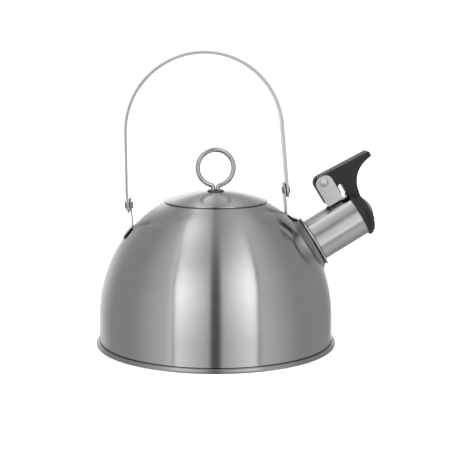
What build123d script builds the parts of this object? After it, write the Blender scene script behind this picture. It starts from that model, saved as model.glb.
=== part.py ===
from build123d import *
import os
from math import acos, asin, atan2, cos, degrees, hypot, radians, sin, sqrt, tan

# Stovetop whistling kettle, in millimetres and degrees
# The origin is the middle of the base, on the surface that the kettle stands on
# +Z is up and the spout points along +X

# Body: a straight wall, then a dome that follows a quarter ellipse
body_radius = 86.4
wall_height = 22.0
dome_rise = 93.6
sheet = 0.6
rim_radius = 36.4
rim_roll = 1.2
mouth_depth = 6.0

# Base: its edge is rolled round the folded flange of the wall
base_sheet = 0.8
hem_reach = 1.8
hem_height = 1.8
seam_gap = 0.2
seam_round = 1.3

# Spout: the station 0 lies where its axis meets the dome
spout_seat_share = 0.82465
spout_droop = 1.14
neck_radius = 18.8
neck_rise = 1.3
neck_flare = 45.0
neck_blend = 8.0
tube_radius = 16.5
tube_reach = 42.8
tube_tail = 2.6
tube_fit = 0.05
bead_radius = 20.2
bead_height = 1.6
bead_round = 0.6

# Bracket on the spout and the rivet that carries the whistle lever
bracket_sheet = 1.0
bracket_lift = 0.8
bracket_foot_width = 9.0
ear_width = 13.2
ear_head = 4.7
ear_round = 5.6
ear_corner = 1.7
ear_edge = 0.3
pivot_setback = 12.4
pivot_height = 18.3
pin_radius = 1.5
pin_clearance = 0.06
pin_head_radius = 3.3
pin_head_height = 1.7
pin_tail_height = 1.2

# Whistle lever: hub with two cheeks, thumb tab, web and cap in one moulding
lever_width = 14.0
lever_side_gap = 0.3
heel_back = 6.1
heel_front = 7.4
heel_radius = 16.1
hub_top = 5.5
hub_round = 7.5
lever_reach = 40.3
tip_top = 2.3
tip_thickness = 4.0
tip_round = 1.1
hollow_drop = 4.5
hollow_radius = 20.0
slot_drop = 7.6
slot_round = 1.5
web_inset = 0.7
web_thickness = 11.2
web_foot = 11.0
corner_round = 1.5
lever_edge = 0.9

# Cap of the lever: it slips over the mouth of the tube and holds the whistle
cap_radius = 18.3
cap_overlap = 2.0
cap_side = 1.8
cap_depth = 8.6
cap_crown = 1.4
cap_clearance = 0.7
bezel_radius = 10.4
bezel_step = 0.8
cap_seat_gap = 0.3
whistle_sheet = 0.6
whistle_radius = 8.8
whistle_bulge = 2.9
whistle_fit = 0.1
chamber_radius = 12.5
chamber_depth = 3.3
sound_hole_radius = 1.5

# Torsion spring on the rivet: one foot on the bracket, one leg in the lever
spring_wire = 0.8
spring_radius = 2.9
spring_pitch = 1.3
spring_turns = 3
spring_lean = 25.0
spring_leg = 8.0
spring_clearance = 0.5
spring_seat = 0.05
gap_step = 10

# Bail: flat strip on a tilted hinge line, its rear leg leans in above a knee
hinge_centre = -5.8
hinge_height = 109.4
hinge_tilt = 5.0
bail_leg = 48.5
bail_lean = 4.5
bail_knee = 9.0
bail_thickness = 1.8
bail_width = 11.0
bail_edge = 0.4
bail_play = 0.2

# Lugs and rivets of the bail
lug_setback = 10.62
lug_sheet = 1.0
lug_width = 12.0
foot_gap = 1.1
foot_length = 11.0
foot_round = 2.0
rivet_radius = 2.0
rivet_clearance = 0.08
rivet_head_radius = 3.7
rivet_head_height = 1.4
rivet_tail_radius = 2.5
rivet_tail_height = 1.2
tail_chamfer = 0.3
washer_radius = 4.6
washer_sheet = 0.6

# Lid: shallow cover with a curled edge, and a ring below that centres it
lid_radius = 38.2
lid_gap = 0.25
lid_edge = 0.6
lid_rise = 7.0
lid_curl = 0.6
skirt_clearance = 0.4
skirt_flange = 7.0
skirt_depth = 10.0

# Knob: wire ring, its two legs pass through the cover and are spread below
wire_radius = 1.7
ring_radius = 13.2
ring_bend = 2.0
leg_gap = 0.2
leg_clearance = 0.15
knob_washer_radius = 6.1
knob_washer_sheet = 0.8
backing_radius = 8.5
knob_stand = 1.7
knob_tail = 4.0


def dome_height(radius):
    return wall_height + dome_rise * sqrt(1 - (radius / body_radius) ** 2)


def dome_slope(radius):
    return atan2(dome_rise * radius, body_radius * sqrt(body_radius**2 - radius**2))


def rise(angle):
    return sin(radians(angle))


def run(angle):
    return cos(radians(angle))


# Mouth: the dome ends at the rim and rolls down into the collar
rim_centre = rim_radius - rim_roll * sin(dome_slope(rim_radius))
rim_level = dome_height(rim_radius) - rim_roll * cos(dome_slope(rim_radius))
mouth_radius = rim_centre - rim_roll

# Spout frame: stations along the axis, heights square to it in the XZ plane
spout_seat_radius = body_radius * spout_seat_share
spout_tilt = 90 - degrees(dome_slope(spout_seat_radius)) - spout_droop
spout_direction = Vector(run(spout_tilt), 0, rise(spout_tilt))
spout_up = Vector(-rise(spout_tilt), 0, run(spout_tilt))
spout_root = Vector(spout_seat_radius, 0, dome_height(spout_seat_radius))
spout_axis = Axis(spout_root, spout_direction)
spout_side = Plane(origin=spout_root, x_dir=spout_direction, z_dir=(0, -1, 0))
spout_half = Plane(origin=spout_root, x_dir=spout_direction, z_dir=spout_up)

# Pivot of the lever above the tube
pivot_station = tube_reach - pivot_setback
pivot_level = tube_radius + pivot_height
pivot = spout_root + spout_direction * pivot_station + spout_up * pivot_level

# Hinge frame of the bail: x along the line through both rivets
hinge_direction = Vector(run(hinge_tilt), 0, rise(hinge_tilt))
hinge_origin = Vector(hinge_centre, 0, hinge_height)
hinge_axis = Axis(hinge_origin, hinge_direction)
hinge_side = Plane(origin=hinge_origin, x_dir=hinge_direction, z_dir=(0, -1, 0))

# Stations on the hinge line, counted outwards on both sides from the lug behind the spout
bead_near = (spout_root + spout_direction * neck_rise + spout_up * bead_radius).X
lug_outer = (bead_near - lug_setback - hinge_centre) / run(hinge_tilt)
lug_inner = lug_outer - lug_sheet
washer_outer = lug_outer + washer_sheet
bail_inner = washer_outer + bail_play
bail_outer = bail_inner + bail_thickness
bail_half_width = (bail_inner + bail_outer) / 2

# Sphere of the cover
cover_radius = (lid_radius**2 + lid_rise**2) / (2 * lid_rise)
cover_foot = dome_height(lid_radius - sheet) + lid_gap
cover_top = cover_foot + lid_edge + lid_rise
cover_centre = cover_top - cover_radius


def cover_height(radius, inset):
    return cover_centre + sqrt((cover_radius - inset) ** 2 - radius**2)


# Filled dome with the spout neck, drawn in by a wall or let out by a sheet
def dome_block(inset, floor):
    ellipse_radius = body_radius - inset
    ellipse_rise = dome_rise - inset
    dome_end = rim_centre + (rim_roll - inset) * sin(dome_slope(rim_radius))
    sweep_angle = degrees(acos(dome_end / ellipse_radius))
    pull = 4 / 3 * tan(radians(sweep_angle) / 4)
    lip = mouth_radius + inset
    neck_top = neck_rise - inset
    neck_edge = neck_radius - inset * tan(radians(90 - neck_flare) / 2)
    neck_root = neck_radius / 2
    neck_base = neck_edge + (neck_top + neck_root) * tan(radians(neck_flare))
    with BuildPart() as block:
        with BuildSketch(Plane.YZ):
            with BuildLine():
                dome = Bezier(
                    (ellipse_radius, wall_height),
                    (ellipse_radius, wall_height + ellipse_rise * pull),
                    (
                        ellipse_radius * (run(sweep_angle) + pull * rise(sweep_angle)),
                        wall_height + ellipse_rise * (rise(sweep_angle) - pull * run(sweep_angle)),
                    ),
                    (dome_end, wall_height + ellipse_rise * rise(sweep_angle)),
                )
                TangentArc(dome @ 1, (lip, rim_level), tangent=dome % 1)
                Polyline(
                    (lip, rim_level), (0, rim_level), (0, floor), (ellipse_radius, floor), dome @ 0
                )
            make_face()
        revolve(axis=Axis.Z)
        with BuildSketch(spout_half):
            with BuildLine():
                Polyline(
                    (-neck_root, 0),
                    (neck_top, 0),
                    (neck_top, neck_edge),
                    (-neck_root, neck_base),
                    close=True,
                )
            make_face()
        revolve(axis=spout_axis)
        junction = block.edges(Select.LAST).filter_by(GeomType.BSPLINE)
        fillet(junction, radius=neck_blend + inset)
    return block.part


# Round-headed rivet along the x axis of a plane, it grips from start to end
def rivet(plane, start, end, shank, head, head_height, tail, tail_height):
    crown = (head**2 + head_height**2) / (2 * head_height)
    with BuildPart() as part:
        with BuildSketch(plane):
            with BuildLine():
                CenterArc((end + head_height - crown, 0), crown, 0, degrees(asin(head / crown)))
                Polyline(
                    (end, head),
                    (end, shank),
                    (start, shank),
                    (start, tail),
                    (start - tail_height, tail),
                    (start - tail_height, 0),
                    (end + head_height, 0),
                )
            make_face()
        revolve(axis=Axis(plane.origin, plane.x_dir))
        chamfer(part.faces().sort_by(Axis(plane.origin, plane.x_dir))[0].edges(), tail_chamfer)
    return part


os.makedirs("parts", exist_ok=True)

# Body shell: dome and neck hollowed to the sheet, mouth collar and folded flange
dome_solid = dome_block(0, base_sheet)
dome_inside = dome_block(sheet, base_sheet - sheet)
with BuildPart() as body_shell:
    add(dome_solid)
    add(dome_inside, mode=Mode.SUBTRACT)
    with BuildSketch(Plane.XY.offset(rim_level)):
        Circle(mouth_radius + sheet)
        Circle(mouth_radius, mode=Mode.SUBTRACT)
    extrude(amount=-mouth_depth)
    with BuildSketch(spout_half):
        Rectangle(2 * neck_radius, tube_radius + tube_fit, align=(Align.CENTER, Align.MIN))
    revolve(axis=spout_axis, mode=Mode.SUBTRACT)
    with BuildSketch(Plane.XY.offset(base_sheet)):
        Circle(body_radius + hem_reach)
        Circle(body_radius - sheet, mode=Mode.SUBTRACT)
    extrude(amount=hem_height)

# Base pan: flat bottom, its edge comes up round the flange and back to the wall
seam_radius = body_radius + hem_reach + base_sheet
seam_height = hem_height + 2 * base_sheet
with BuildPart() as base_pan:
    with BuildSketch(Plane.YZ):
        with BuildLine():
            Polyline(
                (0, 0),
                (seam_radius, 0),
                (seam_radius, seam_height),
                (body_radius + seam_gap, seam_height),
                (body_radius + seam_gap, seam_height - base_sheet),
                (seam_radius - base_sheet, seam_height - base_sheet),
                (seam_radius - base_sheet, base_sheet),
                (0, base_sheet),
                close=True,
            )
        make_face()
    revolve(axis=Axis.Z)
    seam_edges = base_pan.edges().filter_by(GeomType.CIRCLE)
    fillet(seam_edges.filter_by(lambda e: e.radius > seam_radius - seam_gap), radius=seam_round)

# Spout tube: its root bead is rolled down onto the neck
with BuildPart() as spout_tube:
    with BuildSketch(spout_half):
        with BuildLine():
            Polyline(
                (-tube_tail, tube_radius - sheet),
                (tube_reach, tube_radius - sheet),
                (tube_reach, tube_radius),
                (neck_rise + bead_height, tube_radius),
                (neck_rise + bead_height, bead_radius),
                (neck_rise, bead_radius),
                (neck_rise, tube_radius),
                (-tube_tail, tube_radius),
                close=True,
            )
        make_face()
    revolve(axis=spout_axis)
    bead_edges = spout_tube.edges().filter_by(GeomType.CIRCLE)
    fillet(bead_edges.filter_by(lambda e: e.radius > bead_radius - sheet), radius=bead_round)

# Spout bracket: two ears and the floor between them, on a foot saddled on the tube
bracket_inside = lever_width / 2 + lever_side_gap
bracket_outside = bracket_inside + bracket_sheet
bracket_floor = tube_radius + bracket_lift
bracket_top = bracket_floor + bracket_sheet
bracket_length = ear_width - 2 * ear_corner
ear_height = pivot_level + ear_head - bracket_floor
with BuildPart() as spout_bracket:
    with BuildSketch(spout_side) as ear:
        with Locations((pivot_station, bracket_floor)):
            Rectangle(ear_width, ear_height, align=(Align.CENTER, Align.MIN))
        fillet(ear.vertices().group_by(Axis.Y)[-1], radius=ear_round)
        fillet(ear.vertices().group_by(Axis.Y)[0], radius=ear_corner)
    extrude(amount=bracket_outside, both=True)
    fillet(spout_bracket.faces().filter_by(Axis.Y).edges(), radius=ear_edge)
    extrude(ear.sketch, amount=bracket_inside, both=True, mode=Mode.SUBTRACT)
    with BuildSketch(spout_side):
        with Locations((pivot_station, bracket_floor)):
            Rectangle(bracket_length, bracket_sheet, align=(Align.CENTER, Align.MIN))
    extrude(amount=bracket_inside, both=True)
    with BuildSketch(spout_side):
        with Locations((pivot_station, bracket_floor)):
            Rectangle(bracket_length, tube_radius, align=(Align.CENTER, Align.MAX))
    extrude(amount=bracket_foot_width / 2, both=True)
    with BuildSketch(spout_half):
        Rectangle(tube_reach, tube_radius, align=(Align.MIN, Align.MIN))
    revolve(axis=spout_axis, mode=Mode.SUBTRACT)
    with BuildSketch(spout_side):
        with Locations((pivot_station, pivot_level)):
            Circle(pin_radius)
    extrude(amount=bracket_outside, both=True, mode=Mode.SUBTRACT)

# Lever rivet: round head on the near ear, flat upset end on the other
lever_pin = rivet(
    Plane(origin=pivot, x_dir=(0, -1, 0), z_dir=spout_direction),
    -bracket_outside,
    bracket_outside,
    pin_radius,
    pin_head_radius,
    pin_head_height,
    pin_head_radius,
    pin_tail_height,
)

# Whistle lever: outline of hub, tab and web, then the cap turned about the spout
cap_back = tube_reach - cap_overlap
cap_front = cap_back + cap_depth
bezel_back = cap_front - bezel_step
cap_seat = tube_reach + cap_seat_gap
shoulder = cap_seat + chamber_depth
web_back = cap_back + web_inset
web_front = web_back + web_thickness
slot_level = pivot_level - slot_drop
tab_end = pivot_station + lever_reach
coil_room = spring_radius + spring_wire / 2 + spring_clearance
coil_length = spring_pitch * spring_turns + spring_wire
spring_drop = pivot_level - spring_radius * rise(spring_lean) - bracket_top - spring_wire / 2
spring_foot = (spring_drop - spring_seat) / run(spring_lean)
spring_drift = spring_foot * spring_pitch / (radians(360) * spring_radius)
pocket_half = coil_length / 2 + spring_drift + spring_clearance
leg_floor = pivot_level - spring_radius - spring_wire / 2 - spring_seat
with BuildPart() as whistle_lever:
    with BuildSketch(spout_side):
        with BuildLine():
            FilletPolyline(
                (bezel_back, web_foot),
                (web_back, web_foot),
                (web_back, slot_level),
                (pivot_station + heel_front, slot_level),
                (pivot_station + heel_front, pivot_level - sqrt(heel_radius**2 - heel_front**2)),
                (pivot_station - heel_back, pivot_level - sqrt(heel_radius**2 - heel_back**2)),
                (pivot_station - heel_back, pivot_level + hub_top),
                (tab_end, pivot_level + tip_top),
                (tab_end, pivot_level + tip_top - tip_thickness),
                (web_front, pivot_level - hollow_drop),
                radius=(
                    corner_round,
                    corner_round,
                    slot_round,
                    slot_round,
                    corner_round,
                    corner_round,
                    hub_round,
                    tip_round,
                    tip_round,
                    hollow_radius,
                ),
                close=True,
            )
        make_face()
    extrude(amount=lever_width / 2, both=True)
    fillet(whistle_lever.faces().filter_by(Axis.Y).edges(), radius=lever_edge)
    with BuildSketch(spout_half):
        with BuildLine():
            Polyline(
                (bezel_back, bezel_radius),
                (cap_front, bezel_radius),
                (cap_front, 0),
                (cap_back, 0),
                (cap_back, cap_radius),
                (cap_back + cap_side, cap_radius),
            )
            SagittaArc((cap_back + cap_side, cap_radius), (bezel_back, bezel_radius), cap_crown)
        make_face()
    revolve(axis=spout_axis)
    with BuildSketch(spout_half):
        with BuildLine():
            Polyline(
                (cap_back, 0),
                (cap_back, tube_radius + cap_clearance),
                (cap_seat, tube_radius + cap_clearance),
                (cap_seat, chamber_radius),
                (shoulder, chamber_radius),
                (shoulder, whistle_radius + whistle_fit),
                (cap_front, whistle_radius + whistle_fit),
                (cap_front, 0),
                close=True,
            )
        make_face()
    revolve(axis=spout_axis, mode=Mode.SUBTRACT)
    with BuildSketch(spout_side):
        with Locations((pivot_station, pivot_level)):
            Circle(pin_radius + pin_clearance)
    extrude(amount=lever_width, both=True, mode=Mode.SUBTRACT)
    with BuildSketch(spout_side):
        with Locations((pivot_station + coil_room, pivot_level + coil_room)):
            Rectangle(2 * heel_radius, 2 * heel_radius, align=(Align.MAX, Align.MAX))
        with Locations((pivot_station, leg_floor)):
            Rectangle(spring_leg + spring_clearance, 2 * spring_wire, align=(Align.MIN, Align.MIN))
    extrude(amount=pocket_half, both=True, mode=Mode.SUBTRACT)

# Whistle: domed cup in the cap, closed at the back by a flat plate, both with a sound hole
cup_back = cap_seat + whistle_sheet
cup_crown = (whistle_radius**2 + whistle_bulge**2) / (2 * whistle_bulge)
with BuildPart() as whistle_dome:
    for inset in (0, whistle_sheet):
        with BuildSketch(spout_half):
            with BuildLine():
                reach = sqrt((cup_crown - inset) ** 2 - (whistle_radius - inset) ** 2)
                centre = cap_front + whistle_bulge - cup_crown
                dome = CenterArc(
                    (centre, 0), cup_crown - inset, 0, degrees(atan2(whistle_radius - inset, reach))
                )
                Polyline(
                    dome @ 1,
                    (shoulder - inset, whistle_radius - inset),
                    (shoulder - inset, chamber_radius - inset),
                    (cup_back, chamber_radius - inset),
                    (cup_back, 0),
                    dome @ 0,
                )
            make_face()
        revolve(axis=spout_axis, mode=Mode.SUBTRACT if inset else Mode.ADD)
    with BuildSketch(spout_half):
        Rectangle(cap_front + whistle_bulge, sound_hole_radius, align=(Align.MIN, Align.MIN))
    revolve(axis=spout_axis, mode=Mode.SUBTRACT)

with BuildPart() as whistle_plate:
    with BuildSketch(spout_half):
        with Locations((cap_seat, sound_hole_radius)):
            Rectangle(
                whistle_sheet, chamber_radius - sound_hole_radius, align=(Align.MIN, Align.MIN)
            )
    revolve(axis=spout_axis)


# Lever spring: point and direction of the wire on its coil at an angle
def coil_point(angle):
    along = spring_pitch * (angle - coil_middle) / 360
    radial = spout_direction * run(angle) + spout_up * rise(angle)
    return pivot + radial * spring_radius + Vector(0, along, 0)


def coil_tangent(angle):
    around = spout_up * run(angle) - spout_direction * rise(angle)
    return (around * radians(360) * spring_radius + Vector(0, spring_pitch, 0)).normalized()


coil_start = -spring_lean
coil_end = 360 * spring_turns - 90
coil_middle = (coil_start + coil_end) / 2
quarters = 4 * spring_turns
coil_angles = [coil_start + (coil_end - coil_start) * i / quarters for i in range(quarters + 1)]
with BuildPart() as lever_spring:
    with BuildLine() as wire:
        first = coil_tangent(coil_start)
        Line(coil_point(coil_start) - first * spring_foot, coil_point(coil_start))
        for before, after in zip(coil_angles, coil_angles[1:]):
            start = coil_point(before)
            end = coil_point(after)
            leave = coil_tangent(before)
            arrive = coil_tangent(after)
            chord = end - start
            square = 2 - 2 * leave.dot(arrive)
            linear = chord.dot(leave + arrive)
            handle = (sqrt(linear**2 + square * chord.dot(chord)) - linear) / square
            middle = (start + end + (leave - arrive) * handle) / 2
            first_half = TangentArc(start, middle, tangent=leave)
            TangentArc(middle, end, tangent=first_half % 1)
        last = coil_tangent(coil_end)
        Line(coil_point(coil_end), coil_point(coil_end) + last * spring_leg)
    with BuildSketch(Plane(origin=wire.line @ 0, z_dir=wire.line % 0)):
        Circle(spring_wire / 2)
    sweep()

# Least gap between neighbouring turns, measured on points of the coil
half_turn = 180 // gap_step
coil_sweep = int(coil_end - coil_start)
coil_points = [coil_point(coil_start + angle) for angle in range(0, coil_sweep, gap_step)]
turn_gaps = [
    (coil_points[i] - coil_points[j]).length - spring_wire
    for i in range(len(coil_points))
    for j in range(i + half_turn, len(coil_points))
]
print("least gap between spring turns", round(min(turn_gaps), 3))

# Bail: two outlines make the strip, its ends are round and drilled for the rivets
lean_rise = bail_leg - bail_knee
bail_chord = 2 * bail_half_width * run(bail_lean) - lean_rise * rise(bail_lean)
bail_radius = bail_chord / (1 + run(bail_lean))
bail_centre = bail_half_width - bail_radius
with BuildPart() as bail:
    with BuildSketch(hinge_side):
        for inset, mode in ((-bail_thickness / 2, Mode.ADD), (bail_thickness / 2, Mode.SUBTRACT)):
            half = bail_half_width - inset
            reach = bail_radius - inset
            rear = (bail_centre - reach * run(bail_lean), bail_leg + reach * rise(bail_lean))
            with BuildLine():
                Polyline(
                    rear,
                    (-half, bail_knee - inset * tan(radians(bail_lean / 2))),
                    (-half, -bail_width / 2),
                    (half, -bail_width / 2),
                    (half, bail_leg),
                )
                CenterArc((bail_centre, bail_leg), reach, 0, 180 - bail_lean)
            make_face(mode=mode)
    extrude(amount=bail_width / 2, both=True)
    fillet(bail.edges().filter_by(hinge_axis), radius=bail_width / 2 - bail_edge)
    with BuildSketch(Plane(origin=hinge_origin, z_dir=hinge_direction)):
        Circle(rivet_radius + rivet_clearance)
    extrude(amount=2 * bail_half_width, both=True, mode=Mode.SUBTRACT)


# Lug: upright strip square to the hinge line and a foot that lies on the dome
def make_lug(side):
    seat = hinge_origin + hinge_direction * (side * lug_outer)
    drop = seat.Z - dome_height(hypot(seat.X, lug_width))
    upright = Plane(origin=seat, x_dir=(0, side, 0), z_dir=hinge_direction * side)
    heel = seat.X + drop * rise(hinge_tilt)
    foot_start = heel - side * lug_sheet / 2
    foot_run = foot_length * cos(dome_slope(abs(heel)))
    if side > 0:
        foot_run = bead_near - foot_gap - foot_start
    with BuildPart() as lug:
        with BuildSketch(Plane.XY.offset(wall_height)):
            with Locations((foot_start, 0)):
                Rectangle(
                    foot_run,
                    lug_width,
                    align=(Align.MIN if side > 0 else Align.MAX, Align.CENTER),
                )
        extrude(amount=dome_rise)
        tips = lug.edges().filter_by(Axis.Z).group_by(Axis.X)
        fillet(tips[-1 if side > 0 else 0], radius=foot_round)
        add(dome_block(-lug_sheet, base_sheet), mode=Mode.INTERSECT)
        with BuildSketch(upright):
            Circle(lug_width / 2)
            Rectangle(lug_width, drop, align=(Align.CENTER, Align.MAX))
        extrude(amount=-lug_sheet)
        add(dome_solid, mode=Mode.SUBTRACT)
        with BuildSketch(upright):
            Circle(rivet_radius)
        extrude(amount=-lug_sheet, mode=Mode.SUBTRACT)
    return lug


# Washer between lug and bail, and the rivet that holds all three
def make_washer(side):
    seat = hinge_origin + hinge_direction * (side * lug_outer)
    with BuildPart() as washer:
        with BuildSketch(Plane(origin=seat, z_dir=hinge_direction * side)):
            Circle(washer_radius)
            Circle(rivet_radius, mode=Mode.SUBTRACT)
        extrude(amount=washer_sheet)
    return washer


def make_bail_rivet(side):
    return rivet(
        Plane(origin=hinge_origin, x_dir=hinge_direction * side, z_dir=(0, 1, 0)),
        lug_inner,
        bail_outer + bail_play,
        rivet_radius,
        rivet_head_radius,
        rivet_head_height,
        rivet_tail_radius,
        rivet_tail_height,
    )


front_lug = make_lug(1)
rear_lug = make_lug(-1)
front_washer = make_washer(1)
rear_washer = make_washer(-1)
front_rivet = make_bail_rivet(1)
rear_rivet = make_bail_rivet(-1)

# Lid cover: spherical cap whose edge curls down to the dome, with the knob hole
leg_offset = wire_radius + leg_gap / 2
knob_hole = leg_offset + wire_radius + leg_clearance
with BuildPart() as lid_shell:
    for inset in (0, sheet):
        edge = lid_radius - inset
        foot = cover_foot - inset
        with BuildSketch(Plane.YZ):
            with BuildLine():
                half_angle = degrees(asin(edge / (cover_radius - inset)))
                crown = CenterArc((0, cover_centre), cover_radius - inset, 90 - half_angle, half_angle)
                Polyline(crown @ 1, (0, foot), (edge, foot), crown @ 0)
            make_face()
        revolve(axis=Axis.Z, mode=Mode.SUBTRACT if inset else Mode.ADD)
    rims = lid_shell.edges().filter_by(GeomType.CIRCLE)
    upper = rims.filter_by(lambda e: e.arc_center.Z > cover_foot + lid_edge / 2)
    fillet(upper.filter_by(lambda e: e.radius > lid_radius - sheet / 2), radius=lid_curl)
    with BuildSketch(Plane.XY.offset(cover_foot)):
        Circle(knob_hole)
    extrude(amount=cover_top, mode=Mode.SUBTRACT)

# Lid skirt: ring that drops into the mouth, its flange is welded under the cover
skirt_radius = mouth_radius - skirt_clearance
skirt_foot = cover_height(skirt_radius, sheet) - skirt_depth
flange_edge = skirt_radius - skirt_flange
with BuildPart() as lid_skirt:
    with BuildSketch(Plane.YZ):
        with BuildLine():
            outer_start = (skirt_radius, cover_height(skirt_radius, sheet))
            outer_end = (flange_edge, cover_height(flange_edge, sheet))
            inner_start = (flange_edge, cover_height(flange_edge, 2 * sheet))
            inner_end = (skirt_radius - sheet, cover_height(skirt_radius - sheet, 2 * sheet))
            RadiusArc(outer_start, outer_end, -(cover_radius - sheet))
            Line(outer_end, inner_start)
            RadiusArc(inner_start, inner_end, cover_radius - 2 * sheet)
            Polyline(inner_end, (skirt_radius - sheet, skirt_foot), (skirt_radius, skirt_foot), outer_start)
        make_face()
    revolve(axis=Axis.Z)

# Knob ring: bent wire in the XZ plane, ring above and two spread tails below
washer_foot = cover_height(knob_hole, 0)
backing_top = cover_height(backing_radius, sheet)
backing_foot = backing_top - knob_washer_sheet
tail_level = backing_foot - wire_radius
bend_centre = leg_offset + ring_bend
ring_foot = washer_foot + knob_washer_sheet + knob_stand
ring_level = ring_foot + sqrt((ring_radius + ring_bend) ** 2 - bend_centre**2)
bend_angle = degrees(atan2(ring_level - ring_foot, bend_centre))
with BuildPart() as knob_ring:
    with BuildLine(Plane.XZ) as loop:
        tail_end = bend_centre + knob_tail
        Line((-tail_end, tail_level), (-bend_centre, tail_level))
        CenterArc((-bend_centre, tail_level + ring_bend), ring_bend, -90, 90)
        Line((-leg_offset, tail_level + ring_bend), (-leg_offset, ring_foot))
        CenterArc((-bend_centre, ring_foot), ring_bend, 0, bend_angle)
        CenterArc((0, ring_level), ring_radius, 180 + bend_angle, -180 - 2 * bend_angle)
        CenterArc((bend_centre, ring_foot), ring_bend, 180 - bend_angle, bend_angle)
        Line((leg_offset, ring_foot), (leg_offset, tail_level + ring_bend))
        CenterArc((bend_centre, tail_level + ring_bend), ring_bend, 180, 90)
        Line((bend_centre, tail_level), (tail_end, tail_level))
    with BuildSketch(Plane(origin=loop.line @ 0, z_dir=loop.line % 0)):
        Circle(wire_radius)
    sweep()

with BuildPart() as knob_washer:
    with BuildSketch(Plane.XY.offset(washer_foot)):
        Circle(knob_washer_radius)
        Circle(knob_hole, mode=Mode.SUBTRACT)
    extrude(amount=knob_washer_sheet)

with BuildPart() as knob_backing:
    with BuildSketch(Plane.XY.offset(backing_foot)):
        Circle(backing_radius)
        Circle(bend_centre, mode=Mode.SUBTRACT)
    extrude(amount=knob_washer_sheet)

pieces = {
    "body_shell": body_shell,
    "base_pan": base_pan,
    "spout_tube": spout_tube,
    "spout_bracket": spout_bracket,
    "lever_pin": lever_pin,
    "lever_spring": lever_spring,
    "front_lug": front_lug,
    "rear_lug": rear_lug,
    "front_washer": front_washer,
    "rear_washer": rear_washer,
    "front_rivet": front_rivet,
    "rear_rivet": rear_rivet,
    "bail": bail,
    "lid_shell": lid_shell,
    "lid_skirt": lid_skirt,
    "knob_ring": knob_ring,
    "knob_washer": knob_washer,
    "knob_backing": knob_backing,
    "whistle_lever": whistle_lever,
    "whistle_dome": whistle_dome,
    "whistle_plate": whistle_plate,
}
for name, piece in pieces.items():
    piece.part.label = name
    export_step(piece.part, f"parts/{name}.step")
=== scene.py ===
from math import acos, asin, atan2, cos, hypot, pi, radians, sin, sqrt, tan

import bmesh
import bpy
import numpy as np
from mathutils import Matrix, Vector


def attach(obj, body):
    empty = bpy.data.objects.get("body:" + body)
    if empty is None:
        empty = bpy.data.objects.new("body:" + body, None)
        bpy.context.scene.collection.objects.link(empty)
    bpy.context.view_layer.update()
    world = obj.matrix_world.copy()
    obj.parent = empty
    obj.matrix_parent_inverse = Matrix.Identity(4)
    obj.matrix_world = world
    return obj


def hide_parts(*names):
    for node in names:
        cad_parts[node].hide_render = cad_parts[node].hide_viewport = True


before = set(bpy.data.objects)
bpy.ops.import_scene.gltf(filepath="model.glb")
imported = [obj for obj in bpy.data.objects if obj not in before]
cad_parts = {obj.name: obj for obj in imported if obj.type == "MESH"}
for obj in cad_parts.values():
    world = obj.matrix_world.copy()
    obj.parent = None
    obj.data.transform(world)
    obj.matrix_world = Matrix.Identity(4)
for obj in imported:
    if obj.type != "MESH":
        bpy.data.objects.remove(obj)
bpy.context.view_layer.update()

# Base pan
# The bottom of the kettle is pressed from stainless sheet. Its edge is rolled up and
# over the flange of the wall, which leaves a round seam; painted shade on the wall darkens
# the joint above it.
mm = 0.001
same_point = 0.0005 * mm
base_sheet = 0.8
body_radius = 86.4
seam_radius = 89.0
seam_height = 3.4
seam_gap = 0.2
seam_round = 1.3
hem_round = 0.25


def rounded(corners, steps=6):
    """Closed outline through corners of (radius, height, rounding), in mm."""
    points = []
    for i, (x, y, rounding) in enumerate(corners):
        corner = Vector((x, y))
        if not rounding:
            points.append((x, y))
            continue
        back = (Vector(corners[i - 1][:2]) - corner).normalized()
        ahead = (Vector(corners[(i + 1) % len(corners)][:2]) - corner).normalized()
        half = back.angle(ahead) / 2
        centre = corner + (back + ahead).normalized() * (rounding / sin(half))
        start = corner + back * (rounding / tan(half)) - centre
        end = corner + ahead * (rounding / tan(half)) - centre
        first = atan2(start.y, start.x)
        turn = (atan2(end.y, end.x) - first + pi) % (2 * pi) - pi
        for k in range(steps + 1):
            angle = first + turn * k / steps
            points.append((centre.x + rounding * cos(angle), centre.y + rounding * sin(angle)))
    return points


def piece(name, shape, material, crease=35):
    """Object with the faces of a bmesh, smooth but for edges sharper than crease."""
    mesh = bpy.data.meshes.new(name)
    shape.to_mesh(mesh)
    shape.free()
    mesh.shade_smooth()
    mesh.set_sharp_from_angle(angle=radians(crease))
    mesh.materials.append(material)
    made = bpy.data.objects.new(name, mesh)
    bpy.context.scene.collection.objects.link(made)
    return made


def turned(outline, segments, place=Matrix()):
    """Closed bmesh of an outline of (radius, height) in mm, turned about the axis of a place."""
    shape = bmesh.new()
    rows = []
    for radius, height in outline:
        row = []
        for k in range(segments):
            angle = 2 * pi * k / segments
            local = Vector((radius * cos(angle), radius * sin(angle), height)) * mm
            row.append(shape.verts.new(place @ local))
        rows.append(row)
    for i, row in enumerate(rows):
        below = rows[i - 1]
        for k in range(segments):
            shape.faces.new((below[k - 1], below[k], row[k], row[k - 1]))
    bmesh.ops.remove_doubles(shape, verts=shape.verts, dist=same_point)
    bmesh.ops.dissolve_degenerate(shape, edges=shape.edges, dist=same_point)
    bmesh.ops.recalc_face_normals(shape, faces=shape.faces)
    return shape


def linear(colour):
    """Linear colour of an sRGB hex value such as #c8c8c6."""
    parts = [int(colour[i:i + 2], 16) / 255 for i in (1, 3, 5)]
    return [p / 12.92 if p <= 0.04045 else ((p + 0.055) / 1.055) ** 2.4 for p in parts] + [1]


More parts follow.
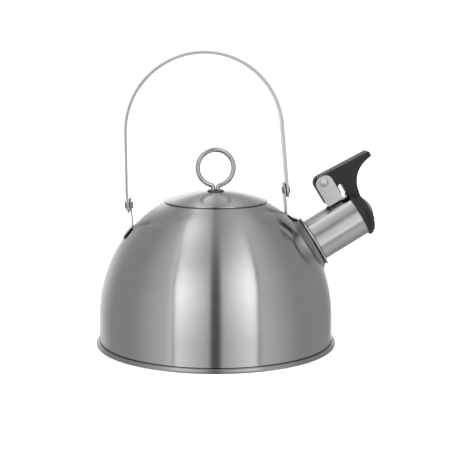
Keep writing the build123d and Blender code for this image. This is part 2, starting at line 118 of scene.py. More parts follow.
def add(tree, kind, inputs={}, **settings):
    """Adds a node with its settings, its values and the links into it."""
    made = tree.nodes.new(kind)
    for key, value in settings.items():
        setattr(made, key, value)
    for key, value in inputs.items():
        if isinstance(value, bpy.types.NodeSocket):
            tree.links.new(value, made.inputs[key])
        else:
            made.inputs[key].default_value = value
    return made.outputs


def bare_material(name):
    """Material without any nodes, and its tree."""
    material = bpy.data.materials.new(name)
    material.use_nodes = True
    material.node_tree.nodes.clear()
    return material, material.node_tree


def measured(tree, spot, point, axis):
    """Distance along an axis from a point in mm, and distance from that axis."""
    out = add(tree, "ShaderNodeVectorMath", {0: spot, 1: Vector(point) * mm}, operation="SUBTRACT")[0]
    far = add(tree, "ShaderNodeVectorMath", {0: out, 1: axis}, operation="DOT_PRODUCT")["Value"]
    ahead = add(tree, "ShaderNodeVectorMath", {0: axis, "Scale": far}, operation="SCALE")[0]
    off = add(tree, "ShaderNodeVectorMath", {0: out, 1: ahead}, operation="DISTANCE")["Value"]
    return far, off


def turned_steel(name, dark, light, roughness, anisotropy, origin=(0, 0, 0), axis=(0, 0, 1),
                 line=0.5, run=40.0, spread=0.03, depth=0.002, creases=(), matte=None):
    """Stainless steel, polished with a belt while it turned about an axis.

    The belt leaves fine lines round the axis, so highlights are drawn out across them.
    Real lines lie about 0.05 mm apart; to show, they are drawn coarser, line mm apart,
    and run mm long at full_radius.
    Creases are darkened with painted shade, for the shadow that falls in them: each is
    given by a point in mm, an axis, a station along the axis, a width and the farthest
    distance from the axis. Where the belt only brushes past, the steel is more matte up
    to a distance from another axis.
    """
    full_radius = 80.0
    cloud_size = 35.0
    # Painted shade: the dark colour that is mixed into creases where shadow falls.
    painted_crease_shade = linear("#303030")
    crease_core = 0.4
    crease_end = 0.3
    matte_end = 8.0
    noise_range = {"From Min": 0.7, "From Max": 1.3}
    material, tree = bare_material(name)
    spot = add(tree, "ShaderNodeTexCoord")["Object"]
    turn = Vector((0, 0, 1)).rotation_difference(Vector(axis)).to_euler()
    local = add(tree, "ShaderNodeMapping", {
        "Vector": spot, "Location": Vector(origin) * mm, "Rotation": turn}, vector_type="TEXTURE")[0]
    apart = add(tree, "ShaderNodeSeparateXYZ", {"Vector": local})
    flat = add(tree, "ShaderNodeVectorMath", {0: local, 1: (1, 1, 0)}, operation="MULTIPLY")[0]
    radius = add(tree, "ShaderNodeVectorMath", {0: flat}, operation="LENGTH")["Value"]
    around = add(tree, "ShaderNodeVectorMath", {0: flat}, operation="NORMALIZE")[0]
    streak = add(tree, "ShaderNodeVectorMath", {
        0: around, "Scale": full_radius / run}, operation="SCALE")[0]
    streak = add(tree, "ShaderNodeSeparateXYZ", {"Vector": streak})
    across = add(tree, "ShaderNodeMath", {0: radius, 1: 1 / (line * mm)}, operation="MULTIPLY")[0]
    along = add(tree, "ShaderNodeMath", {0: apart["Z"], 1: 1 / (line * mm)}, operation="MULTIPLY")[0]
    grain = add(tree, "ShaderNodeCombineXYZ", {"X": streak["X"], "Y": streak["Y"], "Z": across})[0]
    lines = add(tree, "ShaderNodeTexNoise", {
        "Vector": grain, "W": along, "Scale": 1.0, "Detail": 2.0, "Roughness": 0.6},
        noise_dimensions="4D")[0]
    cloud = add(tree, "ShaderNodeTexNoise", {
        "Vector": spot, "Scale": 1 / (cloud_size * mm), "Detail": 2.0})[0]
    mixed = add(tree, "ShaderNodeMath", {0: lines, 1: cloud}, operation="ADD")[0]
    tone = add(tree, "ShaderNodeMapRange", {"Value": mixed, **noise_range})[0]
    colour = add(tree, "ShaderNodeMix", {"Factor": tone, "A": linear(dark), "B": linear(light)},
                 data_type="RGBA")["Result"]
    # Painted shade in each crease: the colour goes dark near the station, within the reach.
    for point, crease_axis, station, width, reach in creases:
        far, off = measured(tree, spot, point, crease_axis)
        near = add(tree, "ShaderNodeMapRange", {
            "Value": off, "From Min": (reach - crease_end) * mm, "From Max": reach * mm,
            "To Min": 1.0, "To Max": 0.0})[0]
        close = add(tree, "ShaderNodeMath", {0: far, 1: station * mm}, operation="SUBTRACT")[0]
        close = add(tree, "ShaderNodeMath", {0: close}, operation="ABSOLUTE")[0]
        close = add(tree, "ShaderNodeMapRange", {
            "Value": close, "From Min": width * crease_core * mm, "From Max": width * mm,
            "To Min": 1.0, "To Max": 0.0})[0]
        crease_shade = add(tree, "ShaderNodeMath", {0: near, 1: close}, operation="MULTIPLY")[0]
        colour = add(tree, "ShaderNodeMix", {"Factor": crease_shade, "A": colour, "B": painted_crease_shade},
                     data_type="RGBA")["Result"]
    rough = add(tree, "ShaderNodeMapRange", {
        "Value": mixed, **noise_range, "To Min": roughness - spread, "To Max": roughness + spread})[0]
    if matte:
        point, matte_axis, reach, more = matte
        off = measured(tree, spot, point, matte_axis)[1]
        more = add(tree, "ShaderNodeMapRange", {
            "Value": off, "From Min": (reach - matte_end) * mm, "From Max": reach * mm,
            "To Min": more, "To Max": 0.0})[0]
        rough = add(tree, "ShaderNodeMath", {0: rough, 1: more}, operation="ADD")[0]
    bump = add(tree, "ShaderNodeBump", {"Height": lines, "Strength": 0.25, "Distance": depth * mm})[0]
    stretch = add(tree, "ShaderNodeVectorTransform", {"Vector": axis}, vector_type="VECTOR",
                  convert_from="OBJECT", convert_to="WORLD")[0]
    shader = add(tree, "ShaderNodeBsdfPrincipled", {
        "Base Color": colour, "Metallic": 1.0, "Roughness": rough, "Anisotropic": anisotropy,
        "Tangent": stretch, "Normal": bump})[0]
    add(tree, "ShaderNodeOutputMaterial", {"Surface": shader})
    return material


base_steel = turned_steel("belt_polished_stainless_base", "#b2b2b2", "#c2c2c2", 0.26, 0.6)
hem_radius = body_radius + seam_gap
hem_level = seam_height - base_sheet
seam_inside = seam_radius - base_sheet
base = piece("base_pan_rolled", turned(rounded([
    (0, 0, 0), (seam_radius, 0, seam_round), (seam_radius, seam_height, seam_round),
    (hem_radius, seam_height, hem_round), (hem_radius, hem_level, 0), (seam_inside, hem_level, 0),
    (seam_inside, base_sheet, 0), (0, base_sheet, 0)]), segments=256), base_steel)
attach(base, "kettle")
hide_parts("base_pan")

# Body shell
# Wall and dome are drawn from one blank of stainless sheet. The mouth is rolled inwards
# into a collar, and the neck for the spout is pulled out of the side of the dome.
wall_height = 22.0
wall_start = 4.0
wall_rows = 9
dome_rise = 93.6
dome_rows = 110
sheet = 0.6
rim_radius = 36.4
rim_roll = 1.2
mouth_depth = 6.0
flange_reach = 88.2
flange_level = 1.7
flange_bend = 0.6
joint_level = seam_height + 0.1
joint_shadow = 0.4
joint_reach = 87.0
spout_tilt = radians(31.2)
spout_seat = 71.25
neck_radius = 18.8
neck_rise = 1.3
neck_blend = 8.0
neck_levels = (62, 105)
neck_density = 1.9
neck_shadow = 1.0
neck_shadow_reach = 22.0
neck_matte = 0.15
neck_matte_reach = 34.0
tube_radius = 16.5


def dome_height(radius):
    return wall_height + dome_rise * sqrt(1 - (radius / body_radius) ** 2)


spout_root = Vector((spout_seat, 0, dome_height(spout_seat)))
spout_axis = Vector((cos(spout_tilt), 0, sin(spout_tilt)))
spout_up = Vector((-sin(spout_tilt), 0, cos(spout_tilt)))
spout_place = Matrix((spout_up, spout_axis.cross(spout_up), spout_axis)).transposed().to_4x4()
spout_place.translation = spout_root * mm

# Painted shade darkens the body in the crease under the spout's bead and in the joint above the base
# seam.
body_steel = turned_steel("belt_polished_stainless_body", "#c6c6c6", "#cecece", 0.2, 0.9, creases=[
    (spout_root, spout_axis, neck_rise, neck_shadow, neck_shadow_reach),
    ((0, 0, 0), (0, 0, 1), joint_level, joint_shadow, joint_reach)],
    matte=(spout_root, spout_axis, neck_matte_reach, neck_matte))

# The outline of the sheet, from the flange up to the collar, with closer rows at the neck.
rim_slope = atan2(dome_rise * rim_radius, body_radius * sqrt(body_radius**2 - rim_radius**2))
rim_centre = rim_radius - rim_roll * sin(rim_slope)
rim_level = dome_height(rim_radius) - rim_roll * cos(rim_slope)
mouth_radius = rim_centre - rim_roll
flange_foot = body_radius + flange_bend
skin = [(flange_reach, flange_level), (flange_foot, flange_level)]
skin += [(flange_foot - flange_bend * sin(a), flange_level + flange_bend - flange_bend * cos(a))
         for a in np.radians((30, 60, 90))]
skin += [(body_radius, z) for z in np.linspace(wall_start, wall_height, wall_rows)]
fine = np.linspace(0, acos(rim_radius / body_radius), 2000)
curve = np.stack([body_radius * np.cos(fine), wall_height + dome_rise * np.sin(fine)], 1)
walked = np.concatenate([[0], np.cumsum(np.hypot(*np.diff(curve, axis=0).T))])
by_neck = (curve[:, 1] > neck_levels[0]) & (curve[:, 1] < neck_levels[1])
weight = np.cumsum(np.where(by_neck, neck_density, 1.0) * np.gradient(walked))
stations = np.interp(np.linspace(weight[0], weight[-1], dome_rows), weight, walked)[1:]
skin += [(np.interp(s, walked, curve[:, 0]), np.interp(s, walked, curve[:, 1])) for s in stations]
skin += [(rim_centre + rim_roll * cos(a), rim_level + rim_roll * sin(a))
         for a in np.linspace(pi / 2 - rim_slope, pi, 9)[1:]]
skin += [(mouth_radius, rim_level - d) for d in np.linspace(0, mouth_depth, 4)[1:]]

# The outline turned round, with its columns crowded on the side of the spout.
columns = 320
crowding = 0.6
turns = np.linspace(0, 2 * pi, columns, endpoint=False)
turns = turns - crowding * np.sin(turns)
profile = np.array(skin)
grid = np.stack([profile[:, None, 0] * np.cos(turns), profile[:, None, 0] * np.sin(turns),
                 np.repeat(profile[:, 1:2], columns, 1)], -1)
root = np.array(spout_root)
heading = np.array(spout_axis)


def spout_station(points):
    """Distance along the spout and distance from its axis."""
    out = points - root
    along = out @ heading
    return along, np.linalg.norm(out - along[..., None] * heading, axis=-1)


def dome_outward(points):
    """Vectors that point straight out of the dome."""
    level = points[..., 2] - wall_height
    return np.stack([points[..., 0] / body_radius**2, points[..., 1] / body_radius**2,
                     level / dome_rise**2], -1)


def neck_field(points):
    """Signed distance to the dome with the conical neck pulled out of it, joined by a fillet."""
    radius = np.hypot(points[..., 0], points[..., 1])
    level = points[..., 2] - wall_height
    shell = np.hypot(radius / body_radius, level / dome_rise)
    slope = np.hypot(radius / body_radius**2, level / dome_rise**2)
    dome = (shell - 1) * shell / slope
    along, off = spout_station(points)
    neck = np.maximum((off - neck_radius + along - neck_rise) / sqrt(2), along - neck_rise)
    aside = (points - root - along[..., None] * heading) / np.maximum(off, 0.001)[..., None]
    corner = (dome_outward(points) * (aside + heading)).sum(-1) / slope / sqrt(2)
    corner = np.clip(corner, -0.98, 0.98)
    first = dome - neck_blend
    second = neck - neck_blend
    reach = np.maximum(first**2 + second**2 - 2 * first * second * corner, 0) / (1 - corner**2)
    between = (first < second * corner) & (second < first * corner)
    return np.where(between, neck_blend - np.sqrt(reach), np.minimum(dome, neck))


# The neck: points round the spout are moved outwards until they lie on that surface.
neck_zone = 48
neck_back = -30
neck_foot = wall_height + 2
neck_lift = 14.0
halvings = 40
along, off = spout_station(grid)
near = (off < neck_zone) & (along > neck_back) & (grid[..., 2] > neck_foot)
start = grid[near]
outward = dome_outward(start)
outward /= np.linalg.norm(outward, axis=1)[:, None]
low = np.zeros(len(start))
high = np.full(len(start), neck_lift)
for _ in range(halvings):
    middle = (low + high) / 2
    inside = neck_field(start + outward * middle[:, None]) < 0
    low = np.where(inside, middle, low)
    high = np.where(inside, high, middle)
grid[near] = start + outward * low[:, None]

# The sheet, with the hole for the tube left open and its edge drawn in to the tube.
cut_radius = tube_radius + 0.6
hole_radius = tube_radius + 0.05
body_shape = bmesh.new()
dots = [[body_shape.verts.new(Vector(p) * mm) for p in row] for row in grid]
along, off = spout_station(grid)
bored = (off < cut_radius) & (along > neck_back)
for i in range(1, len(dots)):
    for k in range(columns):
        if bored[i, k] and bored[i - 1, k] and bored[i, k - 1] and bored[i - 1, k - 1]:
            continue
        body_shape.faces.new((dots[i - 1][k - 1], dots[i - 1][k], dots[i][k], dots[i][k - 1]))
loose = [v for v in body_shape.verts if not v.link_faces]
bmesh.ops.delete(body_shape, geom=loose, context="VERTS")
for v in body_shape.verts:
    out = v.co / mm - spout_root
    reach = out.dot(spout_axis)
    aside = out - spout_axis * reach
    if aside.length < cut_radius and reach > neck_back and v.is_boundary:
        v.co = (spout_root + spout_axis * reach + aside.normalized() * hole_radius) * mm
body = piece("body_shell_drawn", body_shape, body_steel, crease=60)
wall = body.modifiers.new("sheet", "SOLIDIFY")
wall.thickness = sheet * mm
wall.offset = -1
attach(body, "kettle")
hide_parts("body_shell")

# Spout tube
# Straight length of stainless tube, pushed into the neck. Its root is rolled out to a
# thin bead that clamps the edge of the neck.
tube_reach = 42.8
tube_tail = 2.6
tail_round = 0.1
lip_round = 0.15
bead_radius = 20.2
bead_height = 1.6
bead_round = 0.6
bead_fillet = 0.35
bead_shadow = 0.9
bead_shadow_reach = 17.4
bead_top = neck_rise + bead_height
tube_bore = tube_radius - sheet
# Painted shade darkens the tube in the crease above its bead.
tube_steel = turned_steel(
    "belt_polished_stainless_tube", "#cdcdcd", "#d8d8d8", 0.16, 0.92, tuple(spout_root),
    tuple(spout_axis), spread=0.02, depth=0.001,
    creases=[(spout_root, spout_axis, bead_top, bead_shadow, bead_shadow_reach)])
tube = piece("spout_tube_rolled", turned(rounded([
    (tube_bore, -tube_tail, tail_round), (tube_bore, tube_reach, lip_round),
    (tube_radius, tube_reach, lip_round), (tube_radius, bead_top, bead_fillet),
    (bead_radius, bead_top, bead_round), (bead_radius, neck_rise, bead_round),
    (tube_radius, neck_rise, 0), (tube_radius, -tube_tail, tail_round)]),
    segments=160, place=spout_place), tube_steel)
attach(tube, "kettle")
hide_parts("spout_tube")

# Spout bracket
# Strip of stainless bent to a U and spot-welded on the tube, with painted shade where its
# foot meets the tube. Its two round ears hold the rivet of the whistle lever. Their cut edges
# are painted dark, a painted shade that outlines the ears; the sheet keeps the fine straight
# grain of the mill.
bracket_edge = 0.3
bracket_shade_reach = tube_radius + 0.9


def break_edges(made, width):
    """Breaks the sharp edges of an object by a round of a width in mm."""
    bevel = made.modifiers.new("edge", "BEVEL")
    bevel.width = width * mm
    bevel.segments = 3
    bevel.limit_method = "ANGLE"
    bevel.angle_limit = radians(40)
    bevel.harden_normals = True
    return bevel


def dressed(node, name, material, edge=0.0, crease=30, cut=None):
    """Merged copy of a solid. Given a width, its edges are broken, in a cut material if there is one."""
    seam_point = 0.002 * mm
    flat_angle = radians(0.4)
    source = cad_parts[node].data
    shape = bmesh.new()
    spots = [shape.verts.new(v.co) for v in source.vertices]
    for face in source.polygons:
        shape.faces.new([spots[i] for i in face.vertices])
    bmesh.ops.remove_doubles(shape, verts=shape.verts, dist=seam_point)
    bmesh.ops.dissolve_degenerate(shape, edges=shape.edges, dist=same_point)
    bmesh.ops.dissolve_limit(shape, angle_limit=flat_angle, verts=shape.verts, edges=shape.edges)
    made = piece(name, shape, material, crease)
    if edge:
        bevel = break_edges(made, edge)
        if cut:
            made.data.materials.append(cut)
            bevel.material = 1
    return made


def sheet_steel(name, dark, light, roughness, grain, turn=(0, 0, 0), foot_shade=None, joint=None):
    """Stainless sheet with the straight grain of the rolling mill along one way.

    The grain is finer than a tenth of a millimetre in truth; it is drawn in the given
    widths in mm, so that it shows as a faint streak. Farther than a reach in mm from a
    point along an axis, painted shade darkens the edges at half the strip's width.
    At a joint, painted shade darkens the sheet up to a reach in mm from an axis.
    """
    # Painted shade: a near-black colour that stands in for shade on a foot's edges and at a joint.
    painted_shade = linear("#161616")
    blur = 0.2
    foot_end = 0.3
    rim_start = 0.9
    rim_end = 0.4
    spread = 0.06
    noise_range = {"From Min": 0.3, "From Max": 0.7}
    material, tree = bare_material(name)
    spot = add(tree, "ShaderNodeTexCoord")["Object"]
    local = add(tree, "ShaderNodeMapping", {
        "Vector": spot, "Rotation": turn, "Scale": [1 / (g * mm) for g in grain]})[0]
    streak = add(tree, "ShaderNodeTexNoise", {"Vector": local, "Scale": 1.0, "Detail": 3.0})[0]
    tone = add(tree, "ShaderNodeMapRange", {"Value": streak, **noise_range})[0]
    colour = add(tree, "ShaderNodeMix", {"Factor": tone, "A": linear(dark), "B": linear(light)},
                 data_type="RGBA")["Result"]
    rough = add(tree, "ShaderNodeMapRange", {
        "Value": streak, **noise_range, "To Min": roughness - spread, "To Max": roughness + spread})[0]
    shade_masks = []
    # Painted shade along the edges of a foot, where it is seen edge-on.
    if foot_shade:
        point, axis, reach, half_width = foot_shade
        away = add(tree, "ShaderNodeVectorMath", {
            0: spot, 1: Vector(point) * mm}, operation="SUBTRACT")[0]
        out = add(tree, "ShaderNodeVectorMath", {0: away, 1: axis}, operation="DOT_PRODUCT")["Value"]
        out = add(tree, "ShaderNodeMath", {0: out}, operation="ABSOLUTE")[0]
        foot = add(tree, "ShaderNodeMapRange", {
            "Value": out, "From Min": (reach - blur) * mm, "From Max": (reach + foot_end) * mm})[0]
        side = add(tree, "ShaderNodeSeparateXYZ", {"Vector": away})["Y"]
        side = add(tree, "ShaderNodeMath", {0: side}, operation="ABSOLUTE")[0]
        rim = add(tree, "ShaderNodeMapRange", {
            "Value": side, "From Min": (half_width - rim_start) * mm,
            "From Max": (half_width - rim_end) * mm})[0]
        shade_masks += [add(tree, "ShaderNodeMath", {0: foot, 1: rim}, operation="MULTIPLY")[0]]
    if joint:
        point, axis, reach = joint
        off = measured(tree, spot, point, axis)[1]
        shade_masks += [add(tree, "ShaderNodeMapRange", {
            "Value": off, "From Min": (reach - blur) * mm, "From Max": (reach + blur) * mm,
            "To Min": 1.0, "To Max": 0.0})[0]]
    # Each mask mixes in the painted shade.
    for share in shade_masks:
        colour = add(tree, "ShaderNodeMix", {"Factor": share, "A": colour, "B": painted_shade},
                     data_type="RGBA")["Result"]
    bump = add(tree, "ShaderNodeBump", {"Height": streak, "Strength": 0.2, "Distance": 0.01 * mm})[0]
    shader = add(tree, "ShaderNodeBsdfPrincipled", {
        "Base Color": colour, "Metallic": 1.0, "Roughness": rough, "Normal": bump})[0]
    add(tree, "ShaderNodeOutputMaterial", {"Surface": shader})
    return material


# Painted shade: the bracket darkens where its foot meets the tube, and its cut edges are painted dark.
bracket_steel = sheet_steel("satin_stainless_strip", "#d6d6d6", "#e6e6e6", 0.36, (0.25, 0.25, 5.0),
                            (0, -spout_tilt, 0), joint=(spout_root, spout_axis, bracket_shade_reach))
cut_edge_shade = sheet_steel("sheared_stainless_edge_painted_shade", "#4c4c4c", "#666666", 0.45, (0.3, 0.3, 0.3))
bracket = dressed("spout_bracket", "spout_bracket_bent", bracket_steel, bracket_edge,
                  cut=cut_edge_shade)
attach(bracket, "kettle")
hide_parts("spout_bracket")

# Lever rivet and lever spring
# The rivet is bright steel with a domed head, set through both ears of the bracket.
# The spring is hard drawn wire, wound round the rivet inside the lever.
bright_steel = sheet_steel("bright_stainless_rivet", "#e2e2e2", "#eeeeee", 0.38, (0.6, 0.6, 0.6))
spring_steel = sheet_steel("drawn_spring_wire", "#8e8e8e", "#a2a2a2", 0.34, (0.3, 0.3, 0.3))
pin = dressed("lever_pin", "lever_rivet", bright_steel)
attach(pin, "kettle")
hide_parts("lever_pin")

pivot_reach = 30.4
pivot_height = 34.8
bracket_top = 18.3
spring_wire = 0.8
spring_radius = 2.9
spring_pitch = 1.3
spring_turns = 3
spring_lean = radians(25)
spring_leg = 8.0
spring_gap = 0.05
spring_points = 142
pivot = spout_root + spout_axis * pivot_reach + spout_up * pivot_height


def growth_tree(name, sizes):
    """Geometry node tree with a geometry, a material and named sizes as its inputs."""
    tree = bpy.data.node_groups.new(name, "GeometryNodeTree")
    tree.interface.new_socket("Geometry", in_out="OUTPUT", socket_type="NodeSocketGeometry")
    for label, kind in {"Geometry": "Geometry", "Material": "Material", **sizes}.items():
        tree.interface.new_socket(label, in_out="INPUT", socket_type="NodeSocket" + kind)
    return tree, add(tree, "NodeGroupInput")


def growth_end(tree, geometry, material):
    """Ends a tree with real geometry that carries its material."""
    real = add(tree, "GeometryNodeRealizeInstances", {"Geometry": geometry})[0]
    clad = add(tree, "GeometryNodeSetMaterial", {"Geometry": real, "Material": material})[0]
    add(tree, "NodeGroupOutput", {0: clad})


def grown(name, shape, tree, material, sizes, crease=35):
    """Object with the plain mesh that a tree makes of a bmesh."""
    made = piece(name, shape, material, crease)
    growth = made.modifiers.new("growth", "NODES")
    growth.node_group = tree
    sizes = {"Material": material, **sizes}
    for socket in tree.interface.items_tree:
        if socket.in_out == "INPUT" and socket.name in sizes:
            growth[socket.identifier] = sizes[socket.name]
    bpy.context.view_layer.update()
    final = made.evaluated_get(bpy.context.evaluated_depsgraph_get())
    solid = bpy.data.meshes.new_from_object(final)
    made.modifiers.clear()
    made.data = solid
    solid.shade_smooth()
    solid.set_sharp_from_angle(angle=radians(crease))
    return made


def path(points):
    """Chain of edges through points in mm."""
    shape = bmesh.new()
    spots = [shape.verts.new(Vector(p) * mm) for p in points]
    for first, second in zip(spots, spots[1:]):
        shape.edges.new((first, second))
    return shape


wire_tree, given = growth_tree("round_wire_along_path", {"Wire radius": "Float", "Sides": "Int"})
wire_line = add(wire_tree, "GeometryNodeMeshToCurve", {"Mesh": given["Geometry"]})[0]
wire_round = add(wire_tree, "GeometryNodeCurvePrimitiveCircle", {
    "Resolution": given["Sides"], "Radius": given["Wire radius"]})[0]
wire = add(wire_tree, "GeometryNodeCurveToMesh", {
    "Curve": wire_line, "Profile Curve": wire_round, "Fill Caps": True})[0]
growth_end(wire_tree, wire, given["Material"])

coil_start = -spring_lean
coil_end = 2 * pi * spring_turns - pi / 2
coil_middle = (coil_start + coil_end) / 2


def coil_point(angle):
    lead = Vector((0, spring_pitch * (angle - coil_middle) / (2 * pi), 0))
    return pivot + (spout_axis * cos(angle) + spout_up * sin(angle)) * spring_radius + lead


def coil_tangent(angle):
    around = (spout_up * cos(angle) - spout_axis * sin(angle)) * spring_radius
    return (around + Vector((0, spring_pitch / (2 * pi), 0))).normalized()


foot_drop = pivot_height - spring_radius * sin(spring_lean) - bracket_top - spring_wire / 2
foot_reach = (foot_drop - spring_gap) / cos(spring_lean)
coil = [coil_point(a) for a in np.linspace(coil_start, coil_end, spring_points)]
coil = [coil[0] - coil_tangent(coil_start) * foot_reach] + coil
coil = coil + [coil[-1] + coil_tangent(coil_end) * spring_leg]
spring = grown("lever_spring_wound", path(coil), wire_tree, spring_steel,
               {"Wire radius": spring_wire / 2 * mm, "Sides": 12}, crease=60)
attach(spring, "kettle")
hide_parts("lever_spring")

# Lugs, washers and rivets of the bail
# Each lug is a strip of stainless, bent and spot-welded to the dome, with painted shade along
# the edges of its foot. A dark fibre washer and the bail lie on its outer side, held by
# one rivet with a domed head.
hinge_tilt = radians(5)
hinge = Vector((-5.8, 0, 109.4))
hinge_axis = Vector((cos(hinge_tilt), 0, sin(hinge_tilt)))
hinge_up = Vector((-sin(hinge_tilt), 0, cos(hinge_tilt)))
bail_half = 59.0
bail_thickness = 1.8
lug_outer = 57.3
lug_inner = 56.3
lug_half_width = 6.0
lug_edge = 0.15
# Painted shade darkens the edges of each lug's foot.
lug_steel = sheet_steel("satin_stainless_lug", "#b9b9b9", "#cdcdcd", 0.34, (0.25, 5.0, 0.25),
                        foot_shade=(hinge, hinge_axis, lug_outer, lug_half_width))


def moulded(name, dark, light, roughness, grain, depth):
    """Pressed fibre or plastic: a fine even grit from the mould, grain mm across."""
    cloud_size = 9.0
    spread = 0.06
    material, tree = bare_material(name)
    spot = add(tree, "ShaderNodeTexCoord")["Object"]
    grit = add(tree, "ShaderNodeTexNoise", {
        "Vector": spot, "Scale": 1 / (grain * mm), "Detail": 2.0})[0]
    cloud = add(tree, "ShaderNodeTexNoise", {
        "Vector": spot, "Scale": 1 / (cloud_size * mm), "Detail": 3.0})[0]
    colour = add(tree, "ShaderNodeMix", {"Factor": cloud, "A": linear(dark), "B": linear(light)},
                 data_type="RGBA")["Result"]
    mixed = add(tree, "ShaderNodeMath", {0: grit, 1: cloud}, operation="ADD")[0]
    rough = add(tree, "ShaderNodeMapRange", {
        "Value": mixed, "From Min": 0.7, "From Max": 1.3,
        "To Min": roughness - spread, "To Max": roughness + spread})[0]
    bump = add(tree, "ShaderNodeBump", {"Height": grit, "Strength": 0.3, "Distance": depth * mm})[0]
    shader = add(tree, "ShaderNodeBsdfPrincipled", {
        "Base Color": colour, "Roughness": rough, "Normal": bump})[0]
    add(tree, "ShaderNodeOutputMaterial", {"Surface": shader})
    return material


fibre = moulded("dark_fibre_washer", "#2b2a29", "#3a3938", 0.6, 0.3, 0.02)
for end in ("front", "rear"):
    lug = dressed(end + "_lug", end + "_lug_bent", lug_steel, lug_edge)
    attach(lug, "kettle")
    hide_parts(end + "_lug")

pair_tree, given = growth_tree("pair_on_hinge_line", {"Centre": "Vector", "Reach": "Vector"})
rear_spot = add(pair_tree, "ShaderNodeVectorMath", {
    0: given["Centre"], 1: given["Reach"]}, operation="SUBTRACT")[0]
front_spot = add(pair_tree, "ShaderNodeVectorMath", {
    0: given["Centre"], 1: given["Reach"]}, operation="ADD")[0]
both_spots = add(pair_tree, "GeometryNodeMeshLine", {
    "Count": 2, "Start Location": rear_spot, "Offset": front_spot}, mode="END_POINTS")[0]
pair_spot = add(pair_tree, "GeometryNodeInputPosition")[0]
outwards = add(pair_tree, "ShaderNodeVectorMath", {
    0: pair_spot, 1: given["Centre"]}, operation="SUBTRACT")[0]
pair_turn = add(pair_tree, "FunctionNodeAlignRotationToVector", {"Vector": outwards}, axis="Z")[0]
pair = add(pair_tree, "GeometryNodeInstanceOnPoints", {
    "Points": both_spots, "Instance": given["Geometry"], "Rotation": pair_turn})[0]
growth_end(pair_tree, pair, given["Material"])

rivet_steel = sheet_steel("satin_stainless_rivet", "#a4a4a4", "#b8b8b8", 0.32, (0.6, 0.6, 0.6))
washer_radius = 4.6
washer_sheet = 0.6
washer_round = 0.1
rivet_radius = 2.0
rivet_play = 0.2
head_radius = 3.7
head_height = 1.4
tail_radius = 2.5
tail_height = 1.2
tail_chamfer = 0.3
head_foot = bail_half + bail_thickness / 2 + rivet_play - lug_inner
crown = (head_radius**2 + head_height**2) / (2 * head_height)
head = [(crown * sin(a), head_foot + head_height - crown + crown * cos(a))
        for a in np.linspace(0, asin(head_radius / crown), 12)]
shank = [(rivet_radius, head_foot), (rivet_radius, 0), (tail_radius, 0),
         (tail_radius, tail_chamfer - tail_height), (tail_radius - tail_chamfer, -tail_height),
         (0, -tail_height)]
rivets = grown("bail_rivets_domed", turned(head + shank, segments=48), pair_tree, rivet_steel,
               {"Centre": hinge * mm, "Reach": hinge_axis * lug_inner * mm})
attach(rivets, "kettle")
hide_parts("front_rivet", "rear_rivet")
ring = rounded([(rivet_radius, 0, 0), (washer_radius, 0, washer_round),
                (washer_radius, washer_sheet, washer_round), (rivet_radius, washer_sheet, 0)])
washers = grown("bail_washers_fibre", turned(ring, segments=64), pair_tree, fibre,
                {"Centre": hinge * mm, "Reach": hinge_axis * lug_outer * mm})
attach(washers, "kettle")
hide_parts("front_washer", "rear_washer")

# Bail
# Flat stainless strip with rolled edges, bent to a hoop. Its round ends are drilled and
# swing on the two rivets.
bail_steel = sheet_steel("satin_stainless_bail", "#dedede", "#eaeaea", 0.3, (4.0, 0.3, 4.0))
bail_width = 11.0
bail_edge = 0.35
bail_hole = 2.08
bail_leg = 48.5
bail_knee = 9.0
bail_lean = radians(4.5)
bail_chord = 2 * bail_half * cos(bail_lean) - (bail_leg - bail_knee) * sin(bail_lean)
bail_radius = bail_chord / (1 + cos(bail_lean))


def drilled_plate(length, width, thickness, hole, sides=64, rows=160):
    """Flat closed strip with round, drilled ends: length along X, width along Y."""
    half = width / 2
    corners = {}
    quads = []

    def corner(x, y):
        return corners.setdefault((round(x, 4), round(y, 4)), len(corners))

    for centre, way in ((half, 1), (length - half, -1)):
        ring = []
        for angle in np.linspace(0, 2 * pi, sides + 1):
            x, y = way * cos(angle), sin(angle)
            reach = half / max(cos(angle), abs(sin(angle))) if cos(angle) > 0 else half
            ring.append((corner(centre + reach * x, reach * y), corner(centre + hole * x, hole * y)))
        quads += [(first[0], last[0], last[1], first[1])[::way] for first, last in zip(ring, ring[1:])]
    across = half * np.tan(np.linspace(-pi / 4, pi / 4, sides // 4 + 1))
    along = np.linspace(width, length - width, rows)
    quads += [(corner(x, y), corner(far, y), corner(far, up), corner(x, up))
              for x, far in zip(along, along[1:]) for y, up in zip(across, across[1:])]

    shape = bmesh.new()
    lower, upper = [[shape.verts.new((x * mm, y * mm, z * mm)) for x, y in corners]
                    for z in (-thickness / 2, thickness / 2)]
    edges = {(quad[i - 1], quad[i]) for quad in quads for i in range(4)}
    for quad in quads:
        shape.faces.new([upper[i] for i in quad])
        shape.faces.new([lower[i] for i in quad[::-1]])
    for first, last in edges:
        if (last, first) not in edges:
            shape.faces.new((lower[first], lower[last], upper[last], upper[first]))
    return shape


